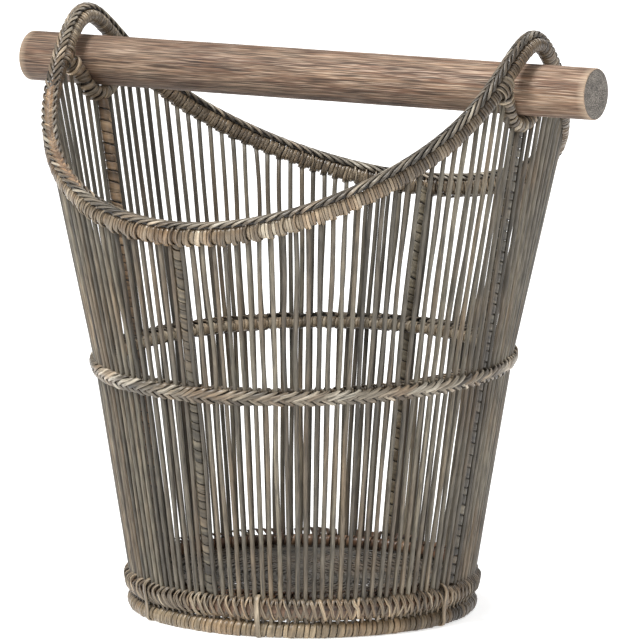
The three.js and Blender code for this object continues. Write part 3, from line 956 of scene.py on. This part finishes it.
def posts():
    """Canes wound with cane, from the base hoop up to the rim or, below the ears, to a cradle."""
    rng = np.random.default_rng(18)
    cradle_bottom = cradle_points()[:, 2].min()
    share = np.linspace(0, 1, 30)[:, None]
    for quarter, (name, level) in enumerate(POST_TONES.items()):
        bearing = quarter * math.pi / 2
        outward = radial(bearing)
        bottom = polar(bearing, wall_radius(POST_BOTTOM) - POST_INSET, POST_BOTTOM - 1.0)
        waist = polar(bearing, WAIST_RADIUS - POST_INSET, WAIST_HEIGHT + waist_rise(bearing))
        rim = rim_point(bearing) - outward * POST_INSET
        top_height = cradle_bottom - 1.5 if quarter % 2 == 0 else rim[2] - 2.0
        top = waist + (rim - waist) * (top_height - waist[2]) / (rim[2] - waist[2])
        points = np.vstack([bottom + (waist - bottom) * share, (waist + (top - waist) * share)[1:]])
        line = Line(points, np.broadcast_to(outward, points.shape))
        pile = Pile()
        radius = POST_DIAMETER / 2
        wind(
            pile, line, rng, radius + 0.3, pitch=8.0, tone=level, thickness=0.9, cover=0.92, spread=0.3,
            uneven=0.2, steps=16,
        )
        core(pile, line, radius, depth=0.6)
        material = gold_material if name == "left" else post_material
        pile.piece("post_winding_" + name, material, ["post_" + name])


def waist_hoop():
    """The hoop behind the rods at the waist, wound with cane, and its lashings to the rods."""
    rng = np.random.default_rng(19)
    radius = WAIST_HOOP_DIAMETER / 2
    reach = WAIST_RADIUS - WAIST_HOOP_LINE
    line = ring_line(WAIST_HOOP_LINE, WAIST_HEIGHT, tilted=True)
    edges = np.append(waist_stakes / FULL_TURN, 1) * line.length
    pile = Pile()

    def barrel(along, angle):
        """A little fuller between two rods."""
        stake = np.interp(along, edges, np.arange(STAKES + 1))
        return radius * (0.9 + 0.16 * np.abs(np.sin(math.pi * stake)))

    wind(pile, line, rng, barrel, pitch=2.6, tone=0.92, tone_spread=0.15, hidden=0.0, spread=0.3)
    core(pile, line, radius, depth=1.0)
    for stake in range(STAKES):
        for side in (1, -1):
            start = (stake, WAIST_HEIGHT + side * (radius + 0.6), -reach)
            knots = [
                (rng.normal(0, 0.12), -side * 2.5, -3.2, -90 - 50 * side),
                (0, 0, 0.5, 90 * side),
                (0.25, side * 0.3, reach / 2 + 1.0, 90 * side),
                (0.42, -side * 0.4, reach + 1.5, 70 * side),
            ]
            tone = own_tone(rng, 0.48, 0.14, LOWEST_TONE)
            stake_strand(
                pile, start, knots, 2.6, 1.1, tone, samples=9,
                radius_at=lambda height: WAIST_RADIUS, tilted=True,
            )
    pile.piece("waist_hoop_winding", wrap_material, ["waist_hoop"])


def waist_braid():
    """A plait outside the rods: long canes rise to the right above, short ones fall below."""
    rng = np.random.default_rng(20)
    pile = Pile()
    bed = ring_line(WAIST_RADIUS + ROD_FACE, WAIST_HEIGHT - 0.5, tilted=True, samples=360)
    # A near-black band of tone 0 under the plait: painted shade in the gaps between its canes
    pile.sweep(bed.points[:-1], bed.out[:-1], 7.4, 1.0, CANE, 0.0, closed=True)
    for stake in range(STAKES):
        jitter = rng.normal(0, 0.07, 3)
        rise = rng.normal(0, 0.35, 2)
        upper = [
            (-0.3, -2.6, 0.3, -10),
            (jitter[0], -1.2, 1.7, 4),
            (0.9 + jitter[1], 1.2 + rise[0], 2.4, 10),
            (1.65 + jitter[2], 3.3 + rise[1], 1.7, 16),
            (2.05, 4.5 + rise[1], -0.4, 50),
            (2.15, 3.8, -3.6, 80),
        ]
        lower = [
            (-0.75, 0.8, 0.2, 0),
            (-0.35 + jitter[1], -1.2, 1.3, 0),
            (0.2 + jitter[2], -3.4 - rise[0], 1.7, -8),
            (0.6, -5.0 - rise[1], 0.4, -45),
            (0.7, -4.8, -3.2, -80),
        ]
        for knots, level, width, thinnest, thickness, samples in (
            (upper, 0.65, 3.1, 0.88, 1.4, 14),
            (lower, 0.57, 3.2, 0.9, 1.2, 11),
        ):
            tones = shaded_ends(own_tone(rng, level, 0.16), samples, 0.22, 0.45)
            own_width = width * rng.uniform(thinnest, 1.1)
            start = (stake, WAIST_HEIGHT, ROD_FACE)
            stake_strand(pile, start, knots, own_width, thickness, tones, samples, tilted=True)
    pile.piece("waist_plait", braid_material, ["waist_braid"], "plaited_cane")


def ear_nearness(along):
    """1 at the middle of an ear, 0 on the low front and back of the rim."""
    return np.exp(-((np.sin(rim_bearing(along)) / 0.24) ** 2))


def rim_shade(along):
    """How much darker the cane is on the near right leg and the left leg; paler in front."""
    bearing = rim_bearing(along)
    return 0.28 * zone(bearing, -14, 20) + 0.15 * zone(bearing, -150, 26) - 0.06 * zone(bearing, -85, 25)


def braid_pitch(along):
    """Length of rim between two canes of the plait: closer together at the ears."""
    return 9.2 - 3.7 * ear_nearness(along)


def plait_shift(along):
    """How far the plait lies towards -X from the middle of the hoop, in the ears only."""
    return 2.2 * ear_nearness(along) * np.cos(along / rim_line.length * FULL_TURN)


# Stretches of the rim's winding: from and to a bearing, pitch, cover and spread of tone
RIM_STRETCHES = (
    (-24, 24, 2.5, 0.93, 0.1),
    (24, 156, 3.0, 0.97, 0.1),
    (156, 204, 2.5, 0.93, 0.1),
    (204, 248, 3.0, 0.87, 0.16),
    (248, 288, 3.6, 1.0, 0.07),
    (288, 336, 2.5, 0.97, 0.13),
)
BOX_POWER = 2.6


def rim_hoop():
    """The rim's winding, and the hooks of thin cane that hold the plait down on it."""
    rng = np.random.default_rng(21)
    radius = RIM_HOOP_RADIUS + 0.25
    high = RIM_BRAID_BED + 1.3
    bearings = stake_bearings(RIM_EAR_RADIUS)
    stakes = rim_along(bearings)
    pile = Pile()

    def reach(along, angle):
        """Round below, and boxed above to take in the foot of the plait."""
        ear = ear_nearness(along)
        side = radius + 0.9 * ear
        up = np.cos(angle)
        box = np.abs(up / (high - 0.9 * ear)) ** BOX_POWER + np.abs(np.sin(angle) / side) ** BOX_POWER
        return np.where(up > 0, box ** (-1 / BOX_POWER), side - ear * np.clip(-up, 0, 1))

    def teeth(along):
        """How far the turns hang down: a saw tooth from one rod to the next."""
        stake = np.interp(along, np.append(stakes, rim_line.length), np.arange(STAKES + 1))
        depth = 1.4 + 3.0 * np.sin(rim_bearing(along)) ** 4
        return depth * np.mod(stake, 1.0) * (1 - ear_nearness(along))

    def tone(along):
        paler = 0.14 * ear_nearness(along) + 0.14 * zone(rim_bearing(along), -52, 24)
        return 0.5 + paler - rim_shade(along)

    for first, last, pitch, cover, tone_spread in RIM_STRETCHES:
        start, end = rim_along(np.radians([first, last]))
        wind(
            pile, rim_line, rng, reach, pitch, start, end, tone=tone, tone_spread=tone_spread,
            hidden=math.pi / 2, thickness=1.0, cover=cover, spread=0.4, uneven=0.15, ragged=teeth,
        )
    core(pile, rim_line, RIM_HOOP_RADIUS, samples=480)
    for mark, bearing in zip(stakes, bearings):
        if abs(math.sin(bearing)) < 0.8 or rng.random() < 0.4:
            continue
        for side in (-1, 1):
            slip = rng.normal(0, 0.4)
            knots = [
                (2.2 + slip, 3.4, high, 50),
                (1.3 + slip, 5.4, high - 1.4, 75),
                (-0.2, 6.0, 2.0, 90),
                (-0.4, 5.9, -2.0, 110),
                (0.4, 4.2, -5.6, 140),
                (0.9, 1.0, -6.6, 170),
            ]
            own = np.clip(0.5 + rng.normal(0, 0.12), 0.2, 0.7)
            rim_strand(pile, (mark, 0, 0), side, knots, rng.uniform(1.2, 1.7), 0.9, own, samples=12)
    pile.piece("rim_winding", rim_material, ["rim_hoop"])


def rim_braid():
    """A plait laid on the rim: canes run in from both edges and meet in a chevron."""
    rng = np.random.default_rng(22)
    pile = Pile()
    half_low = RIM_BRAID_WIDTH / 2 - 0.8
    # A near-black band of tone 0 under the plait: painted shade in the gaps between its canes
    along = np.linspace(0, rim_line.length, 480, endpoint=False)
    point, out, inward = rim_line.at(along)
    centres = point + out * (RIM_BRAID_BED + 0.3) + inward * plait_shift(along)[:, None]
    pile.sweep(centres, out, 2 * half_low - 3.0, RIM_BRAID_THICKNESS - 2.2, CANE, 0.0, closed=True)
    marks = [0.0]
    while marks[-1] < rim_line.length:
        marks.append(marks[-1] + braid_pitch(marks[-1]))
    for mark in np.array(marks[:-1]) * rim_line.length / marks[-1]:
        pitch = braid_pitch(mark)
        ear = ear_nearness(mark)
        bearing = rim_bearing(mark)
        half = half_low - 1.6 * ear
        shade = rim_shade(mark) + 0.1 * zone(bearing, -48, 28) + 0.12 * zone(bearing, -122, 24)
        for side in (-1, 1):
            start = (mark + (0.5 * pitch if side > 0 else 0.0), plait_shift(mark), RIM_BRAID_BED)
            jitter = rng.normal(0, 0.3, 3)
            knots = [
                (-0.8 * pitch, half - 2.4, 0.4, 140),
                (-0.5 * pitch, half - 0.3, 1.9, 80),
                (jitter[0], half - 0.5, 3.2, 46),
                (0.55 * pitch + jitter[1], half - 2.1, RIM_BRAID_THICKNESS - 1.4, 20),
                (1.2 * pitch + jitter[2], 0.9, RIM_BRAID_THICKNESS - 1.1, 4),
                (1.55 * pitch, -0.8, RIM_BRAID_THICKNESS - 2.3, -8),
            ]
            tones = shaded_ends(own_tone(rng, 0.66 - shade, 0.22, 0.12), 13, 0.34, 0.2)
            width = rng.uniform(1.9, 2.5) + 0.4 * ear
            rim_strand(pile, start, side, knots, width, 1.2, tones, samples=13)
    pile.piece("rim_plait", braid_material, ["rim_braid"], "plaited_cane")
    rim_spine(rng)


SPINE_BEARINGS = (199.0, 238.0)
SPINE_PITCH = 2.1
SPINE_RUN_IN = 14.0


def rim_spine(rng):
    """A band of fine golden canes in the middle of the plait, on the left leg."""
    spine = Pile()
    first, last = rim_along(np.radians(SPINE_BEARINGS))
    for mark in np.arange(first, last, SPINE_PITCH):
        tuck = min(mark - first, last - mark, SPINE_RUN_IN) / SPINE_RUN_IN
        start = (mark, plait_shift(mark), RIM_BRAID_BED + RIM_BRAID_THICKNESS - 1.5 + 0.9 * tuck)
        for side in (-1, 1):
            edge = 1.2 + 1.9 * tuck + rng.normal(0, 0.15)
            knots = [
                (-2.2, edge, -1.1, 45),
                (-0.4, 0.7 * edge, -0.1, 18),
                (1.8, 0.15 * edge, 0.1, 0),
                (3.2, -0.2 * edge, -0.9, 0),
            ]
            rim_strand(spine, start, side, knots, 1.6, 0.8, own_tone(rng, 0.5, 0.16), samples=8)
    spine.piece("rim_plait_spine", gold_material, slot="plaited_cane")


def cradles():
    """The wound bars below the carrying rod, strapped to the legs of the ears."""
    rng = np.random.default_rng(23)
    radius = CRADLE_DIAMETER / 2
    points = cradle_points()
    for name, sign, level in (("right", 1, 0.44), ("left", -1, 0.55)):
        own = points * [sign, sign, 1]
        line = Line(own, np.broadcast_to([sign, 0.0, 0.0], own.shape))
        pile = Pile()

        def reach(along, angle, length=line.length):
            """Fuller outside and below, where the turns take in the rod ends."""
            inside = np.clip(np.minimum(along, length - along) / 12.0, 0, 1)
            return radius + 0.1 + 3.2 * inside * np.clip(np.cos(angle + 0.5), 0, 1) ** 1.5

        wind(
            pile, line, rng, reach, pitch=5.0, start=3.0, end=line.length - 3.0, tone=level,
            tone_spread=0.18, thickness=1.6, cover=0.86, spread=0.35, uneven=0.3,
        )
        core(pile, line, radius)
        for side in (-1, 1):
            join = rim_along(math.radians((0 if sign > 0 else 180) + side * CRADLE_JOIN))
            for offset in (-6.0, -2.2, 1.8, 5.6):
                mark = join + offset + rng.normal(0, 0.4)
                slant = rng.uniform(-2.4, 2.4)
                tone = own_tone(rng, level - 0.09, 0.16)
                strap(pile, rim_line, mark, slant, (6.0, 8.2, 6.6), 2.8, tone, first=math.pi / 2)
            mark = line.length / 2 + side * (line.length / 2 - 12.0)
            strap(pile, line, mark, 0.8, [radius + 1.6] * 3, 3.2, 0.95)
        pile.piece("cradle_winding_" + name, wrap_material, ["cradle_" + name])


def handle():
    """The turned carrying rod, with rounded edges and a little unevenness along it."""
    radius = HANDLE_DIAMETER / 2
    half = HANDLE_LENGTH / 2
    turn = np.linspace(0, math.pi / 2, 5)
    edge_x = -half + HANDLE_EDGE_RADIUS * (1 - np.cos(turn))
    edge_r = radius - HANDLE_EDGE_RADIUS * (1 - np.sin(turn))
    face_r = edge_r[0] * np.array([0.35, 0.7])
    body_x = np.linspace(-half + HANDLE_EDGE_RADIUS, half - HANDLE_EDGE_RADIUS, 60)[1:-1]
    end_x = np.concatenate([[-half, -half], edge_x])
    end_r = np.concatenate([face_r, edge_r])
    x = np.concatenate([end_x, body_x, -end_x[::-1]])
    r = np.concatenate([end_r, np.full(len(body_x), radius), end_r[::-1]])
    sides = 72
    turn = np.arange(sides) / sides * FULL_TURN
    uneven = 0.12 * (np.sin(x / 41 + 1) + np.sin(x / 17)) * (r / radius) ** 8
    own = r[:, None] - np.abs(uneven)[:, None] * (1 + 0.5 * np.cos(2 * turn))
    points = vectors(x[:, None], own * np.cos(turn), HANDLE_HEIGHT + own * np.sin(turn)) * MM
    faces = []
    for ring in range(0, (len(x) - 1) * sides, sides):
        for side in range(sides):
            beside = (side + 1) % sides
            faces.append((ring + sides + side, ring + sides + beside, ring + beside, ring + side))
    faces.append(tuple(range(sides)))
    faces.append(tuple(range(len(x) * sides))[: -sides - 1 : -1])
    mesh = bpy.data.meshes.new("carrying_rod_timber")
    mesh.from_pydata([tuple(point) for point in points.reshape(-1, 3)], [], faces)
    mesh.polygons.foreach_set("use_smooth", np.ones(len(mesh.polygons), dtype=bool))
    mesh.materials.append(wood_material())
    add_piece("carrying_rod_timber", mesh, ["handle"], "carrying_rod")


for build in (
    foot_ring, floor_slats, woven_floor, base_hoop, base_band, foot_ties, rods, posts,
    waist_hoop, waist_braid, rim_hoop, rim_braid, cradles, handle,
):
    build()


# Camera, floor and light


def make_camera():
    azimuth = math.radians(CAMERA_AZIMUTH)
    elevation = math.radians(CAMERA_ELEVATION)
    level = math.cos(elevation)
    direction = Vector((math.sin(azimuth) * level, -math.cos(azimuth) * level, math.sin(elevation)))
    place = Vector((0, 0, AIM_HEIGHT * MM)) + direction * CAMERA_DISTANCE
    aim = Vector((AIM_SHIFT[0] * MM, AIM_SHIFT[1] * MM, AIM_HEIGHT * MM))
    data = bpy.data.cameras.new("camera")
    data.lens = CAMERA_LENS
    data.sensor_width = 36
    data.clip_end = 100
    camera = add_object("camera", data)
    roll = Matrix.Rotation(math.radians(CAMERA_ROLL), 4, "Z")
    camera.matrix_world = looking(place, aim) @ roll
    bpy.context.scene.camera = camera


def looking(place, aim):
    """A matrix that puts an object at a place and turns it to an aim."""
    turn = (aim - place).to_track_quat("-Z", "Y").to_matrix().to_4x4()
    return Matrix.Translation(place) @ turn


def make_floor():
    """A white floor that glows below the basket and, more and more, away from it."""
    size = 30.0
    mesh = bpy.data.meshes.new("studio_floor")
    corners = [(-size, -size, 0), (size, -size, 0), (size, size, 0), (-size, size, 0)]
    mesh.from_pydata(corners, [], [(0, 1, 2, 3)])
    n = Nodes("studio_floor")
    n.shader.inputs["Base Color"].default_value = (0.86, 0.86, 0.86, 1)
    n.shader.inputs["Roughness"].default_value = 0.9
    n.shader.inputs["Emission Color"].default_value = (1, 1, 1, 1)
    away = n.add("VectorMath", n.place(), operation="LENGTH").outputs["Value"]
    outside = n.span(away, 0.5, 4.0, 0.45, 1.0)
    below = n.span(away, 0.11, 0.14, 0.6, 0.0)
    n.set(n.shader.inputs["Emission Strength"], n.plus(outside, below))
    mesh.materials.append(n.material)
    add_object("studio_floor", mesh)


LIGHT_AIM = Vector((0, 0, 0.2))
# Name, place, diameter in metres and power in watts of each light
LIGHTS = (
    ("key", (-0.7, -1.9, 3.4), 1.5, 175),
    ("fill", (3.0, -2.2, 1.6), 2.0, 30),
    ("back", (0.6, 2.4, 3.0), 2.4, 60),
)
WORLD_STRENGTH = 0.36


def make_light():
    world = bpy.data.worlds.new("studio")
    world.use_nodes = True
    background = world.node_tree.nodes["Background"]
    background.inputs["Color"].default_value = (1, 1, 1, 1)
    background.inputs["Strength"].default_value = WORLD_STRENGTH
    bpy.context.scene.world = world
    for name, place, size, energy in LIGHTS:
        data = bpy.data.lights.new(name, "AREA")
        data.shape = "DISK"
        data.size = size
        data.energy = energy
        add_object(name, data).matrix_world = looking(Vector(place), LIGHT_AIM)


make_camera()
make_floor()
make_light()
bpy.context.scene.view_settings.view_transform = "Standard"
bpy.context.scene.view_settings.look = "None"
